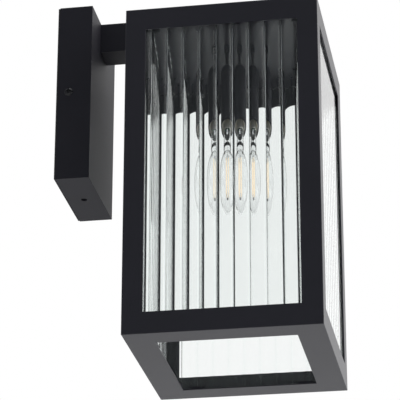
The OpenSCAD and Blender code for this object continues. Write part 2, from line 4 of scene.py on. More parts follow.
import bmesh
import bpy
import numpy as np
from mathutils import Matrix, Vector


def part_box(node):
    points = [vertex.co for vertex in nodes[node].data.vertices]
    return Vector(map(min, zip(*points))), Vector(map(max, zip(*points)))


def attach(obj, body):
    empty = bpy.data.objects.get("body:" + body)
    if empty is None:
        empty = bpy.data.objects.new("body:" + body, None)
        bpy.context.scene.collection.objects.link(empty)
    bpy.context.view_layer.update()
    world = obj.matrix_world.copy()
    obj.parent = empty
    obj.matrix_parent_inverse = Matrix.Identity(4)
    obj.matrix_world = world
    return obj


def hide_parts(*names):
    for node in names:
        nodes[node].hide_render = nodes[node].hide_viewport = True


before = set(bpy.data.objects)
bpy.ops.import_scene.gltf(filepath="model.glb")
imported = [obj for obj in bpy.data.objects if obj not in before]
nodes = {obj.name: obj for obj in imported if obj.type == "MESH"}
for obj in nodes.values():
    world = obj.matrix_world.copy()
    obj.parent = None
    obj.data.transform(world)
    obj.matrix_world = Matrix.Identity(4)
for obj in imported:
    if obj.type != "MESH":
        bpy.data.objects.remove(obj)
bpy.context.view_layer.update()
scene = bpy.context.scene
mm = 0.001
pole = 0.02 * mm  # radius at which a closed end is capped

view = {
    "target": (0.0, -0.1082, -0.0816),  # point of the lantern that the lens is aimed at
    "distance": 1.715,
    "azimuth": -80.28,
    "elevation": -22.83,
    "roll": 0.09,
    "lens": 195.8,
    "sensor": 36.0,
}


def makeCamera(v):
    a = math.radians(v["azimuth"])
    e = math.radians(v["elevation"])
    back = Vector((math.sin(a) * math.cos(e), -math.cos(a) * math.cos(e), math.sin(e)))
    data = bpy.data.cameras.new("camera")
    data.lens = v["lens"]
    data.sensor_width = v["sensor"]
    camera = bpy.data.objects.new("camera", data)
    scene.collection.objects.link(camera)
    turn = back.to_track_quat("Z", "Y").to_matrix().to_4x4()
    camera.matrix_world = turn @ Matrix.Rotation(math.radians(v["roll"]), 4, "Z")
    camera.location = Vector(v["target"]) + back * v["distance"]
    scene.camera = camera


makeCamera(view)
print("camera set")

studio = {
    "backdrop": 1.0,  # what the lens sees behind the lantern, also through its glass
    "brightSide": 1.05,  # the room towards +X, as metal and glass reflect it
    "darkSide": 0.19,  # the room towards -X
    "fadeFrom": -0.35,  # X part of the direction where the dark side ends
    "fadeTo": 0.55,
    "floorHeight": -3.5,
    "floorColour": (0.82, 0.82, 0.82),
    "floorFleck": 0.02,  # how much lighter its noise goes
    "floorSize": 12.0,
    "darkTint": (0.84, 0.93, 1.0),  # colour of the dark side's light
}


def makeWorld(s):
    # the lens, and the rays that have only passed through glass, meet a white backdrop; a ray that something
    # has reflected meets a room that fades from a dark side to a bright one
    world = bpy.data.worlds.new("studio")
    scene.world = world
    world.use_nodes = True
    tree = world.node_tree
    tree.nodes.clear()
    link = tree.links.new
    out = tree.nodes.new("ShaderNodeOutputWorld")
    mix = tree.nodes.new("ShaderNodeMixShader")
    seen = tree.nodes.new("ShaderNodeBackground")
    room = tree.nodes.new("ShaderNodeBackground")
    path = tree.nodes.new("ShaderNodeLightPath")
    bounced = tree.nodes.new("ShaderNodeMath")
    bounced.operation = "ADD"
    bounced.use_clamp = True
    direction = tree.nodes.new("ShaderNodeTexCoord")
    parts = tree.nodes.new("ShaderNodeSeparateXYZ")
    fade = tree.nodes.new("ShaderNodeMapRange")
    fade.interpolation_type = "SMOOTHSTEP"
    fade.inputs["From Min"].default_value = s["fadeFrom"]
    fade.inputs["From Max"].default_value = s["fadeTo"]
    fade.inputs["To Min"].default_value = s["darkSide"]
    fade.inputs["To Max"].default_value = s["brightSide"]
    seen.inputs["Strength"].default_value = s["backdrop"]
    seen.inputs["Color"].default_value = (1, 1, 1, 1)
    tint = tree.nodes.new("ShaderNodeValToRGB")
    tint.color_ramp.elements[0].color = (*s["darkTint"], 1)
    link(direction.outputs["Generated"], parts.inputs[0])
    link(parts.outputs["X"], fade.inputs["Value"])
    link(fade.outputs[0], room.inputs["Strength"])
    link(fade.outputs[0], tint.inputs[0])
    link(tint.outputs[0], room.inputs["Color"])
    link(path.outputs["Diffuse Depth"], bounced.inputs[0])
    link(path.outputs["Glossy Depth"], bounced.inputs[1])
    link(bounced.outputs[0], mix.inputs[0])
    link(seen.outputs[0], mix.inputs[1])
    link(room.outputs[0], mix.inputs[2])
    link(mix.outputs[0], out.inputs[0])


softBoxes = {
    "softFront": {"place": (-0.5, -1.6, 0.5), "aim": (0, -0.1, -0.1), "size": (1.3, 1.3), "watts": 6},
    "softTop": {"place": (0.2, -0.5, 1.3), "aim": (0, -0.1, 0), "size": (1.2, 1.2), "watts": 8},
    "softLow": {"place": (0.15, -1.2, -0.8), "aim": (0, -0.14, -0.3), "size": (1.0, 0.6), "watts": 5},
}


def softBox(name, box):
    data = bpy.data.lights.new(name, "AREA")
    data.shape = "RECTANGLE"
    data.size = box["size"][0]
    data.size_y = box["size"][1]
    data.energy = box["watts"]
    lamp = bpy.data.objects.new(name, data)
    scene.collection.objects.link(lamp)
    lamp.location = box["place"]
    back = Vector(box["place"]) - Vector(box["aim"])
    lamp.rotation_euler = back.to_track_quat("Z", "Y").to_euler()


makeWorld(studio)
for name, box in softBoxes.items():
    softBox(name, box)
scene.view_settings.view_transform = "Standard"
print("light set")


def newMaterial(name):
    material = bpy.data.materials.new(name)
    material.use_nodes = True
    tree = material.node_tree
    shader = tree.nodes["Principled BSDF"]
    place = tree.nodes.new("ShaderNodeTexCoord")
    return material, tree, shader, place


def addNoise(tree, place, scale, detail=2.0, roughness=0.5):
    # noise on Object coordinates, in features per metre
    noise = tree.nodes.new("ShaderNodeTexNoise")
    noise.inputs["Scale"].default_value = scale
    noise.inputs["Detail"].default_value = detail
    noise.inputs["Roughness"].default_value = roughness
    tree.links.new(place.outputs["Object"], noise.inputs["Vector"])
    return noise


def addRamp(tree, source, low, high, start=0.3, stop=0.7):
    ramp = tree.nodes.new("ShaderNodeValToRGB")
    ramp.color_ramp.elements[0].position = start
    ramp.color_ramp.elements[0].color = (*low, 1)
    ramp.color_ramp.elements[1].position = stop
    ramp.color_ramp.elements[1].color = (*high, 1)
    tree.links.new(source, ramp.inputs[0])
    return ramp.outputs[0]


def addRange(tree, source, low, high):
    change = tree.nodes.new("ShaderNodeMapRange")
    change.inputs["To Min"].default_value = low
    change.inputs["To Max"].default_value = high
    tree.links.new(source, change.inputs["Value"])
    return change.outputs[0]


def addBump(tree, shader, source, strength, depth):
    bump = tree.nodes.new("ShaderNodeBump")
    bump.inputs["Strength"].default_value = strength
    bump.inputs["Distance"].default_value = depth
    tree.links.new(source, bump.inputs["Height"])
    tree.links.new(bump.outputs[0], shader.inputs["Normal"])


grain = {
    "powder": 2600.0,  # features per metre, as every scale here
    "powderDrift": 9.0,
    "powderDark": (0.0175, 0.0165, 0.0240),
    "powderPale": (0.0240, 0.0226, 0.0320),
    "powderBump": 0.12 * mm,
    "metal": 900.0,
    "metalBlotch": 60.0,
    "metalBump": 0.05 * mm,
    "glassDrift": 12.0,
    "paneRipple": 25.0,
    "paneBump": 0.3 * mm,
    "phosphor": 900.0,
}
paneTint = {"flute": (0.972, 0.992, 0.985), "ridge": (0.90, 0.945, 0.93), "from": 0.25, "ior": 1.52}
# the emission strength is a painted glow that lightens the filaments
phosphorTone = {"deep": (0.98, 0.86, 0.68), "pale": (1.0, 0.92, 0.78), "through": 0.5, "paintedGlow": 0.9}


def powderCoat(name, roughness, shine):
    # black powder coat: orange-peel grain a third of a millimetre across, over slow drifts of tone
    material, tree, shader, place = newMaterial(name)
    drift = addNoise(tree, place, grain["powderDrift"], 9.0, 0.7)
    peel = addNoise(tree, place, grain["powder"], 2.0, 0.55)
    colour = addRamp(tree, drift.outputs["Fac"], grain["powderDark"], grain["powderPale"])
    tree.links.new(colour, shader.inputs["Base Color"])
    tree.links.new(addRange(tree, peel.outputs["Fac"], *roughness), shader.inputs["Roughness"])
    shader.inputs["Specular IOR Level"].default_value = shine
    addBump(tree, shader, peel.outputs["Fac"], 0.35, grain["powderBump"])
    return material


def plainMetal(name, low, high, roughness):
    # metal whose colour drifts in blotches, under a fine grain
    material, tree, shader, place = newMaterial(name)
    fine = addNoise(tree, place, grain["metal"], 3.0, 0.6)
    blotch = addNoise(tree, place, grain["metalBlotch"], 2.0)
    tree.links.new(addRamp(tree, blotch.outputs["Fac"], low, high), shader.inputs["Base Color"])
    shader.inputs["Metallic"].default_value = 1.0
    tree.links.new(addRange(tree, fine.outputs["Fac"], *roughness), shader.inputs["Roughness"])
    addBump(tree, shader, fine.outputs["Fac"], 0.15, grain["metalBump"])
    return material


def plainSolid(name, low, high, roughness, scale=500.0, bump=0.1, depth=0.1 * mm):
    # opaque plastic, ceramic or foam with one grain in its colour, its gloss and its skin
    material, tree, shader, place = newMaterial(name)
    fine = addNoise(tree, place, scale, 3.0, 0.6)
    tree.links.new(addRamp(tree, fine.outputs["Fac"], low, high), shader.inputs["Base Color"])
    tree.links.new(addRange(tree, fine.outputs["Fac"], *roughness), shader.inputs["Roughness"])
    addBump(tree, shader, fine.outputs["Fac"], bump, depth)
    return material


def clearGlass(name, low, high, waveScale, bump, depth, ior):
    # glass whose tint drifts between two pale tones, with faint waves in its skin
    material, tree, shader, place = newMaterial(name)
    drift = addNoise(tree, place, grain["glassDrift"], 1.0)
    wave = addNoise(tree, place, waveScale, 1.0, 0.4)
    tree.links.new(addRamp(tree, drift.outputs["Fac"], low, high), shader.inputs["Base Color"])
    shader.inputs["Transmission Weight"].default_value = 1.0
    shader.inputs["Roughness"].default_value = 0.0
    shader.inputs["IOR"].default_value = ior
    addBump(tree, shader, wave.outputs["Fac"], bump, depth)
    return material


def flutedGlass():
    # clear glass that is greener where it is thicker, towards the ridges between its flutes
    material, tree, shader, place = newMaterial("flutedGlass")
    thick = tree.nodes.new("ShaderNodeAttribute")
    thick.attribute_name = "towardsRidge"
    ripple = addNoise(tree, place, grain["paneRipple"], 1.0, 0.4)
    tint = addRamp(tree, thick.outputs["Fac"], paneTint["flute"], paneTint["ridge"], paneTint["from"], 1.0)
    tree.links.new(tint, shader.inputs["Base Color"])
    shader.inputs["Transmission Weight"].default_value = 1.0
    shader.inputs["Roughness"].default_value = 0.0
    shader.inputs["IOR"].default_value = paneTint["ior"]
    addBump(tree, shader, ripple.outputs["Fac"], 0.003, grain["paneBump"])
    return material


def phosphorCoat():
    # yellow silicone full of phosphor: a share of the light that lands on it comes out on the far side, and
    # it is given a little emission, a painted glow that lightens it
    material, tree, shader, place = newMaterial("phosphorCoat")
    fine = addNoise(tree, place, grain["phosphor"], 2.0)
    colour = addRamp(tree, fine.outputs["Fac"], phosphorTone["deep"], phosphorTone["pale"])
    tree.links.new(colour, shader.inputs["Base Color"])
    tree.links.new(addRange(tree, fine.outputs["Fac"], 0.5, 0.7), shader.inputs["Roughness"])
    tree.links.new(colour, shader.inputs["Emission Color"])
    # painted glow: emission that stands in for light on the filaments
    shader.inputs["Emission Strength"].default_value = phosphorTone["paintedGlow"]
    through = tree.nodes.new("ShaderNodeBsdfTranslucent")
    mix = tree.nodes.new("ShaderNodeMixShader")
    mix.inputs[0].default_value = phosphorTone["through"]
    tree.links.new(colour, through.inputs["Color"])
    tree.links.new(shader.outputs[0], mix.inputs[1])
    tree.links.new(through.outputs[0], mix.inputs[2])
    tree.links.new(mix.outputs[0], tree.nodes["Material Output"].inputs["Surface"])
    return material


finish = {
    "powder": powderCoat("powderCoat", (0.50, 0.64), 0.36),
    "cagePowder": powderCoat("cagePowderCoat", (0.31, 0.43), 0.54),
    "blackSteel": plainSolid("blackSteel", (0.006, 0.006, 0.008), (0.012, 0.012, 0.015), (0.16, 0.26)),
    "flutedGlass": flutedGlass(),
    "bulbGlass": clearGlass("bulbGlass", (0.985, 0.99, 0.99), (0.995,) * 3, 60.0, 0.01, 0.2 * mm, 1.4),
    "zinc": plainMetal("zincPlate", (0.50, 0.51, 0.53), (0.66, 0.66, 0.64), (0.25, 0.45)),
    "brass": plainMetal("brass", (0.72, 0.52, 0.22), (0.84, 0.64, 0.32), (0.2, 0.4)),
    "aluminium": plainMetal("rolledAluminium", (0.56, 0.55, 0.51), (0.70, 0.68, 0.63), (0.34, 0.5)),
    "solder": plainMetal("solder", (0.55, 0.55, 0.58), (0.70, 0.70, 0.72), (0.35, 0.6)),
    "leadWire": plainMetal("leadWire", (0.12, 0.11, 0.11), (0.20, 0.19, 0.18), (0.35, 0.5)),
    "greenSteel": plainMetal("greenSteel", (0.03, 0.26, 0.09), (0.06, 0.36, 0.13), (0.25, 0.45)),
    "ceramic": plainSolid("glazedCeramic", (0.74, 0.71, 0.62), (0.84, 0.81, 0.72), (0.22, 0.38), 260.0, 0.12),
    "foam": plainSolid("foam", (0.025, 0.025, 0.028), (0.06, 0.06, 0.065), (0.85, 0.98), 1400.0, 0.8, 0.0003),
    "blackWire": plainSolid("blackWire", (0.012, 0.012, 0.012), (0.022, 0.022, 0.022), (0.35, 0.5)),
    "whiteWire": plainSolid("whiteWire", (0.72, 0.72, 0.70), (0.82, 0.82, 0.80), (0.35, 0.5)),
    "greenWire": plainSolid("greenWire", (0.02, 0.28, 0.09), (0.035, 0.36, 0.12), (0.35, 0.5)),
    "connector": plainSolid("connectorPlastic", (0.74, 0.20, 0.03), (0.86, 0.27, 0.05), (0.25, 0.4)),
    "blackGlass": plainSolid("blackGlass", (0.010, 0.010, 0.013), (0.02, 0.02, 0.024), (0.08, 0.16)),
    "board": plainSolid("circuitBoard", (0.02, 0.13, 0.06), (0.03, 0.19, 0.09), (0.3, 0.45), 300.0),
    "phosphor": phosphorCoat(),
}
print("finishes made:", len(finish))


def meshObject(name, verts, faces, material, body, replaced, sharpAngle):
    mesh = bpy.data.meshes.new(name)
    mesh.from_pydata(np.asarray(verts).reshape(-1, 3).tolist(), [], faces)
    mesh.update()
    piece = bpy.data.objects.new(name, mesh)
    scene.collection.objects.link(piece)
    mesh.shade_smooth()
    mesh.set_sharp_from_angle(angle=math.radians(sharpAngle))
    mesh.materials.append(material)
    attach(piece, body)
    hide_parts(replaced)
    return piece


def gridFaces(rows, columns, ring=False):
    # quads of a rows x columns grid whose rows close on themselves; ring joins the last row to the first
    r = np.arange(rows if ring else rows - 1)[:, None]
    c = np.arange(columns)[None, :]
    n = (c + 1) % columns
    up = (r + 1) % rows
    quads = np.stack([r * columns + c, r * columns + n, up * columns + n, up * columns + c], axis=-1)
    return quads.reshape(-1, 4).tolist()


def revolved(profile, centre, steps, twist=None, ring=False, first=0, plain=0):
    # surface of revolution: each profile point (radius, height) is carried round the vertical axis at centre;
    # twist adds a radius that depends on the angle and the height, but for the last plain points; ring closes
    # the profile on itself, and without it both ends are capped; first is the number of points that the mesh
    # already has
    profile = np.asarray(profile, float)
    angle = np.linspace(0, 2 * np.pi, steps, endpoint=False)
    rise = np.zeros((len(profile), steps))
    if twist is not None:
        twisted = len(profile) - plain
        rise[:twisted] = twist(angle[None, :], profile[:twisted, 1:2])
    radius = profile[:, 0:1] + rise
    x = centre[0] + radius * np.cos(angle)
    y = centre[1] + radius * np.sin(angle)
    z = np.repeat(profile[:, 1:2], steps, axis=1)
    verts = np.stack([x, y, z], axis=-1).reshape(-1, 3)
    faces = gridFaces(len(profile), steps, ring)
    if not ring:
        last = (len(profile) - 1) * steps
        faces.append(list(range(steps - 1, -1, -1)))
        faces.append(list(range(last, last + steps)))
    return verts, [[first + i for i in face] for face in faces]


def tube(path, radius, sides=14, first=0):
    # circles of one radius, square to a path and carried along it without twist, with both ends capped
    path = np.asarray(path, float)
    along = np.gradient(path, axis=0)
    along /= np.linalg.norm(along, axis=1)[:, None]
    across = np.cross(along[0], (0.3, 0.2, 1.0) if abs(along[0][2]) < 0.9 else (1.0, 0.3, 0.1))
    angle = np.linspace(0, 2 * np.pi, sides, endpoint=False)
    rings = []
    for point, ahead in zip(path, along):
        across = across - ahead * np.dot(across, ahead)
        across = across / np.linalg.norm(across)
        other = np.cross(ahead, across)
        rings.append(point + radius * (np.cos(angle)[:, None] * across + np.sin(angle)[:, None] * other))
    faces = gridFaces(len(path), sides)
    last = (len(path) - 1) * sides
    faces.append(list(range(sides - 1, -1, -1)))
    faces.append(list(range(last, last + sides)))
    return np.concatenate(rings), [[first + i for i in face] for face in faces]


def joined(parts):
    # one list of points and one of faces from several, each made by a function of its first point's number
    verts = np.zeros((0, 3))
    faces = []
    for part in parts:
        more, its = part(len(verts))
        verts = np.concatenate([verts, more])
        faces += its
    return verts, faces


edgeRule = {
    "merge": 0.001 * mm,  # points closer than this become one
    "flat": 1,  # degrees below which two faces are one
    "weldReach": 0.01 * mm,
    "fold": 50,  # degrees above which an edge is rounded
    "sharp": 30,
    "segments": 3,
}


def softEdges(node, width, material, body="fixture", weldLevels=()):
    # a merged copy of a CAD node with its edges rounded over, but for those that lie in a weld at one of
    # weldLevels, where the next piece carries the surface on
    mesh = nodes[node].data.copy()
    mesh.name = node + "Soft"
    work = bmesh.new()
    work.from_mesh(mesh)
    bmesh.ops.remove_doubles(work, verts=work.verts, dist=edgeRule["merge"])
    flat = math.radians(edgeRule["flat"])
    bmesh.ops.dissolve_limit(work, angle_limit=flat, verts=work.verts, edges=work.edges)
    weight = work.edges.layers.float.new("bevel_weight_edge")
    for edge in work.edges:
        ends = [vertex.co.z for vertex in edge.verts]
        welded = any(all(abs(z - level) < edgeRule["weldReach"] for z in ends) for level in weldLevels)
        folded = len(edge.link_faces) == 2 and edge.calc_face_angle() > math.radians(edgeRule["fold"])
        edge[weight] = 1.0 if folded and not welded else 0.0
    work.to_mesh(mesh)
    work.free()
    mesh.materials.clear()
    mesh.materials.append(material)
    piece = bpy.data.objects.new(node + "Soft", mesh)
    scene.collection.objects.link(piece)
    bevel = piece.modifiers.new("edges", "BEVEL")
    bevel.width = width
    bevel.segments = edgeRule["segments"]
    bevel.limit_method = "WEIGHT"
    bevel.harden_normals = True
    bevel.loop_slide = False
    mesh.shade_smooth()
    mesh.set_sharp_from_angle(angle=math.radians(edgeRule["sharp"]))
    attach(piece, body)
    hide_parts(node)


frameEdge = {
    "cage": 0.5 * mm,
    "arm": 0.7 * mm,
    "backplate": 0.55 * mm,
    "tabs": 0.2 * mm,
    "sideScrews": 0.15 * mm,
}
posts = ["post_back_left", "post_back_right", "post_front_left", "post_front_right"]
welds = [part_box(posts[0])[0][2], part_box(posts[0])[1][2]]  # heights where the posts end

for name in posts + ["roof_pan", "bottom_ring"]:
    softEdges(name, frameEdge["cage"], finish["cagePowder"], weldLevels=welds)
softEdges("backplate", frameEdge["backplate"], finish["powder"])
softEdges("arm_tube", frameEdge["arm"], finish["powder"])
softEdges("arm_cap", frameEdge["arm"], finish["powder"])
for name in ["roof_tabs", "ring_tabs"]:
    softEdges(name, frameEdge["tabs"], finish["powder"])
softEdges("side_screws", frameEdge["sideScrews"], finish["blackSteel"])
print("frame finished")

flutes = {
    "pitch": 12.7 * mm,
    "depth": 1.5 * mm,
    "bead": 0.32 * mm,  # half the width of the bead on each ridge
    "beadHeight": 0.24 * mm,
    "stepsPerFlute": 20,
    "stepsPerBead": 9,
    "backSteps": 12,
    "margin": 0.05 * mm,  # no point of a flute lies closer to the pane's end than this
    "backTint": 0.25,  # value of towardsRidge on the flat face
    "shift": -1.9 * mm,  # how far the left pane's flutes sit off its middle
}


def fluteHollow(s, f):
    # depth below the ridges at distance s along the pane: an arc in each flute, and on each ridge between two
    # flutes a bead whose height falls with the square of the distance from the ridge
    half = f["pitch"] / 2
    radius = (half * half + f["depth"] ** 2) / (2 * f["depth"])
    t = np.abs((s / f["pitch"] + 0.5) % 1.0 - 0.5) * f["pitch"]
    arc = radius - np.sqrt(radius**2 - t**2)
    bead = f["beadHeight"] * np.maximum(1 - ((half - t) / f["bead"]) ** 2, 0)
    return f["depth"] + f["beadHeight"] - arc - bead


def makePane(node, along, inward, f, shift=0.0):
    # outline of the pane's section, flat outside and fluted inside, carried up from its lower edge to its
    # upper one
    low, high = (np.array(corner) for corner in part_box(node))
    axis = int(np.argmax(np.abs(along)))
    depthAxis = 1 - axis
    middle = (low[axis] + high[axis]) / 2
    half = (high[axis] - low[axis]) / 2
    outer = low[depthAxis] if inward > 0 else high[depthAxis]
    thick = high[depthAxis] - low[depthAxis]
    plain = f["pitch"] / 2 - f["bead"]
    inFlute = np.linspace(-plain, plain, f["stepsPerFlute"])
    onBead = f["pitch"] / 2 + f["bead"] * np.linspace(-1, 1, f["stepsPerBead"] + 2)[1:-1]
    count = int(half / f["pitch"]) + 2
    centres = shift + f["pitch"] * np.arange(-count, count + 1)
    s = (centres[:, None] + np.concatenate([inFlute, onBead])[None, :]).ravel()
    s = s[np.abs(s) < half - f["margin"]]
    s = np.concatenate([[half], s[::-1], [-half]])
    section = np.concatenate([
        np.stack([np.linspace(-half, half, f["backSteps"]), np.zeros(f["backSteps"])], axis=1),
        np.stack([s, thick - fluteHollow(s - shift, f)], axis=1),
    ])
    heights = np.array([low[2], high[2]])
    ring = np.zeros((2, len(section), 3))
    ring[:, :, axis] = middle + section[:, 0]
    ring[:, :, depthAxis] = outer + inward * section[:, 1]
    ring[:, :, 2] = heights[:, None]
    faces = gridFaces(2, len(section))
    n = len(section)
    faces.append(list(range(n - 1, -1, -1)))
    faces.append(list(range(n, 2 * n)))
    outward = along[0] * inward if axis == 0 else -inward
    if outward < 0:
        faces = [face[::-1] for face in faces]
    glass = finish["flutedGlass"]
    pane = meshObject(node + "Fluted", ring, faces, glass, "fixture", node, 30.0)
    towards = np.full(n, f["backTint"])
    towards[f["backSteps"]:] = 1 - fluteHollow(s - shift, f) / fluteHollow(np.zeros(1), f)[0]
    layer = pane.data.attributes.new("towardsRidge", "FLOAT", "POINT")
    layer.data.foreach_set("value", np.tile(towards, 2))


makePane("glass_left", (0, 1, 0), 1, flutes, flutes["shift"])
makePane("glass_right", (0, 1, 0), -1, flutes)
makePane("glass_back", (1, 0, 0), -1, flutes)
makePane("glass_front", (1, 0, 0), 1, flutes)
print("panes made")

bulbLow, bulbHigh = (np.array(corner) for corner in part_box("bulb_glass"))
lampAxis = (bulbLow[:2] + bulbHigh[:2]) / 2
baseLow, baseHigh = (np.array(corner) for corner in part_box("bulb_base"))
bulbShape = {
    "wall": 0.8 * mm,
    "neckWall": 2.8 * mm,  # thicker, where the neck is fused to the mount
    "fuseLength": 4.5 * mm,
    "neck": 12.2 * mm,
    "shoulder": 6 * mm,
    "steps": 96,
}


def bulbProfile(b, inset, neckInset):
    # a circle from the lowest point up to where a smaller circle, curved the other way, leads into the neck
    ball = float(bulbHigh[0] - bulbLow[0]) / 2
    rise = math.sqrt((ball + b["shoulder"]) ** 2 - (b["neck"] + b["shoulder"]) ** 2)
    meet = math.atan2(rise, b["neck"] + b["shoulder"])
    sweep = np.linspace(-np.pi / 2, meet, 48)
    turn = np.linspace(meet, 0.0, 14)[1:]
    globe = np.stack([(ball - inset) * np.cos(sweep), ball + (ball - inset) * np.sin(sweep)], axis=1)
    small = b["shoulder"] + inset
    middle = b["neck"] + b["shoulder"]  # radius at which the smaller circle is centred
    bend = np.stack([middle - small * np.cos(turn), ball + rise - small * np.sin(turn)], axis=1)
    t = np.linspace(0, 1, 10)[1:]
    thicker = inset + (neckInset - inset) * t * t * (3 - 2 * t)
    neck = np.stack([b["neck"] - thicker, ball + rise + b["fuseLength"] * t], axis=1)
    neck = np.concatenate([neck, [[b["neck"] - neckInset, float(bulbHigh[2] - bulbLow[2])]]])
    shape = np.concatenate([globe, bend, neck])
    shape[:, 1] += bulbLow[2]
    return shape


def makeBulbGlass(b):
    outside = bulbProfile(b, 0.0, 0.0)
    inside = bulbProfile(b, b["wall"], b["neckWall"])
    outside[0, 0] = pole
    inside[0, 0] = pole
    profile = np.concatenate([outside, inside[::-1]])
    verts, faces = revolved(profile, lampAxis, b["steps"])
    meshObject("bulbGlass", verts, faces, finish["bulbGlass"], "bulb", "bulb_glass", 50.0)


thread = {
    "pitch": 3.629 * mm,
    "height": 0.75 * mm,
    "skirt": 4.5 * mm,  # plain part below the thread
    "lead": 1.5 * mm,  # length over which the thread fades in and out
    "wall": 0.4 * mm,
    "rim": (0.25 * mm, 0.02 * mm),  # rounding of the lower edge: inwards, upwards
    "wallSpan": (0.3 * mm, 0.9 * mm),  # the outer wall's start above the rim and stop below the top
    "shoulder": ((0.5 * mm, 0.25 * mm), (1.3 * mm, 0.0)),  # rounding of the top edge: inwards, downwards
    "mouth": 3.0 * mm,  # how far the opening on top lies inside the wall
    "slack": 0.3 * mm,  # extra room of the inner face at its top and in its skirt
    "inside": (1.2 * mm, 5.5 * mm, 3.5 * mm),  # inner corners: below the top, above the rim, above the rim
    "rows": 120,
    "steps": 96,
}


def makeBulbBase(t):
    # screw shell: its radius follows a cosine of height over pitch minus the angle, which makes a
    # right-handed thread, and fades out at both ends
    low = float(baseLow[2])
    high = float(baseHigh[2])
    radius = float(baseHigh[0] - baseLow[0]) / 2
    z = np.linspace(low + t["wallSpan"][0], high - t["wallSpan"][1], t["rows"])

    def threadRise(angle, height):
        wave = 0.5 * (1 + np.cos(2 * np.pi * (height - low) / t["pitch"] - angle))
        fadeIn = np.clip((height - low - t["skirt"]) / t["lead"], 0, 1)
        fadeOut = np.clip((high - t["lead"] - height) / t["lead"], 0, 1)
        return -t["height"] * (1 - wave) * fadeIn * fadeOut

    outside = np.stack([np.full_like(z, radius), z], axis=1)
    shoulder = [[radius - inwards, high - down] for inwards, down in t["shoulder"]]
    shoulder.append([radius - t["mouth"], high])
    rim = [[radius - t["rim"][0], low + t["rim"][1]]]
    inner = radius - t["height"] - t["wall"]
    skirt = radius - t["wall"] - t["slack"]
    belowTop, threadFoot, skirtTop = t["inside"]
    back = [
        [radius - t["mouth"], high - t["wall"]],
        [inner - t["slack"], high - belowTop],
        [inner, low + threadFoot],
        [skirt, low + skirtTop],
        [skirt, low],
    ]
    profile = np.concatenate([rim, outside, shoulder, back])
    verts, faces = revolved(profile, lampAxis, t["steps"], threadRise, ring=True)
    metal = finish["aluminium"]
    meshObject("bulbBase", verts, faces, metal, "bulb", "bulb_base", 50.0)


mountShape = {"rod": 1.1 * mm, "flare": 4.8 * mm, "flareHeight": 6 * mm, "foot": 1.5 * mm, "steps": 40}
filamentShape = {
    "count": 4,
    "ring": 5 * mm,
    "radius": 1.2 * mm,
    "length": 31 * mm,
    "pin": 0.35 * mm,
    "firstTurn": 0.125,  # share of a turn at which the first one stands
    "steps": 20,
}
leadShape = {
    "start": 0.8,  # where a wire leaves the rod, as a share of the rod's radius
    "wire": 0.8,  # the wire's radius, as a share of the filament's pin
    "capFace": 1.1,  # the cap's face and rim, as shares of the rod's radius
    "capRim": 1.35,
    "capEdge": 0.3 * mm,
    "sides": 10,
    "capSteps": 24,
}


def makeGlassMount(m):
    # rod whose radius grows with the cube of the way up its flare, with a rounded foot
    low, high = (np.array(corner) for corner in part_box("bulb_stem"))
    t = np.linspace(0, 1, 20)
    radius = m["rod"] + (m["flare"] - m["rod"]) * t**3
    flare = np.stack([radius, high[2] - m["flareHeight"] + m["flareHeight"] * t], axis=1)
    turn = np.linspace(0.05, np.pi / 2, 8)
    foot = np.stack([m["rod"] * np.sin(turn), low[2] + m["rod"] * (1 - np.cos(turn))], axis=1)
    profile = np.concatenate([foot, flare, [[pole, high[2]]]])
    verts, faces = revolved(profile, lampAxis, m["steps"])
    meshObject("glassMount", verts, faces, finish["bulbGlass"], "bulb", "bulb_stem", 50.0)


def filamentPlaces(f):
    # centres of the filaments, evenly round the lamp's axis
    angle = 2 * np.pi * (np.arange(f["count"]) / f["count"] + f["firstTurn"])
    return [(lampAxis[0] + f["ring"] * math.cos(a), lampAxis[1] + f["ring"] * math.sin(a)) for a in angle]


def makeFilaments(f):
    # rods whose ends are half circles flattened to a third
    low = float(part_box("bulb_filaments")[0][2])
    turn = np.linspace(0.05, np.pi / 2, 8)
    end = f["radius"] / 3
    lower = np.stack([f["radius"] * np.sin(turn), low + end * (1 - np.cos(turn))], axis=1)
    upper = np.stack([lower[::-1, 0], 2 * low + f["length"] - lower[::-1, 1]], axis=1)
    profile = np.concatenate([lower, upper])
    verts, faces = joined([lambda first, place=place: revolved(profile, place, f["steps"], first=first)
                           for place in filamentPlaces(f)])
    meshObject("filaments", verts, faces, finish["phosphor"], "bulb", "bulb_filaments", 50.0)


def makeLeads(f, m, w):
    # a bent wire from the rod to each end of every filament, each along a parabola, and a cap on the
    # rod's foot
    low, high = (np.array(corner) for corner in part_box("bulb_leads"))
    bottom = float(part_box("bulb_filaments")[0][2])
    top = bottom + f["length"]
    t = np.linspace(0, 1, 12)[:, None]
    parts = []
    for place in filamentPlaces(f):
        out = np.array([place[0] - lampAxis[0], place[1] - lampAxis[1]]) / f["ring"]
        for start, bend, stop in (
            (low[2] + m["foot"] / 2, low[2] + m["foot"] / 2, bottom + f["radius"] / 3),
            (high[2] - f["pin"], top + f["pin"] * 2, top - f["radius"] / 3),
        ):
            near = m["rod"] * w["start"]
            a = np.array([*(lampAxis + out * near), start])
            b = np.array([*(lampAxis + out * f["ring"]), bend])
            c = np.array([*(lampAxis + out * f["ring"]), stop])
            path = (1 - t) ** 2 * a + 2 * t * (1 - t) * b + t**2 * c
            parts.append(lambda first, path=path: tube(path, f["pin"] * w["wire"], w["sides"], first))
    face = m["rod"] * w["capFace"]
    rim = m["rod"] * w["capRim"]
    under = low[2]
    over = under + m["foot"]
    cap = [
        [pole, under],
        [face, under],
        [rim, under + w["capEdge"]],
        [rim, over - w["capEdge"]],
        [face, over],
        [pole, over],
    ]
    parts.append(lambda first: revolved(cap, lampAxis, w["capSteps"], first=first))
    verts, faces = joined(parts)
    meshObject("leads", verts, faces, finish["leadWire"], "bulb", "bulb_leads", 40.0)


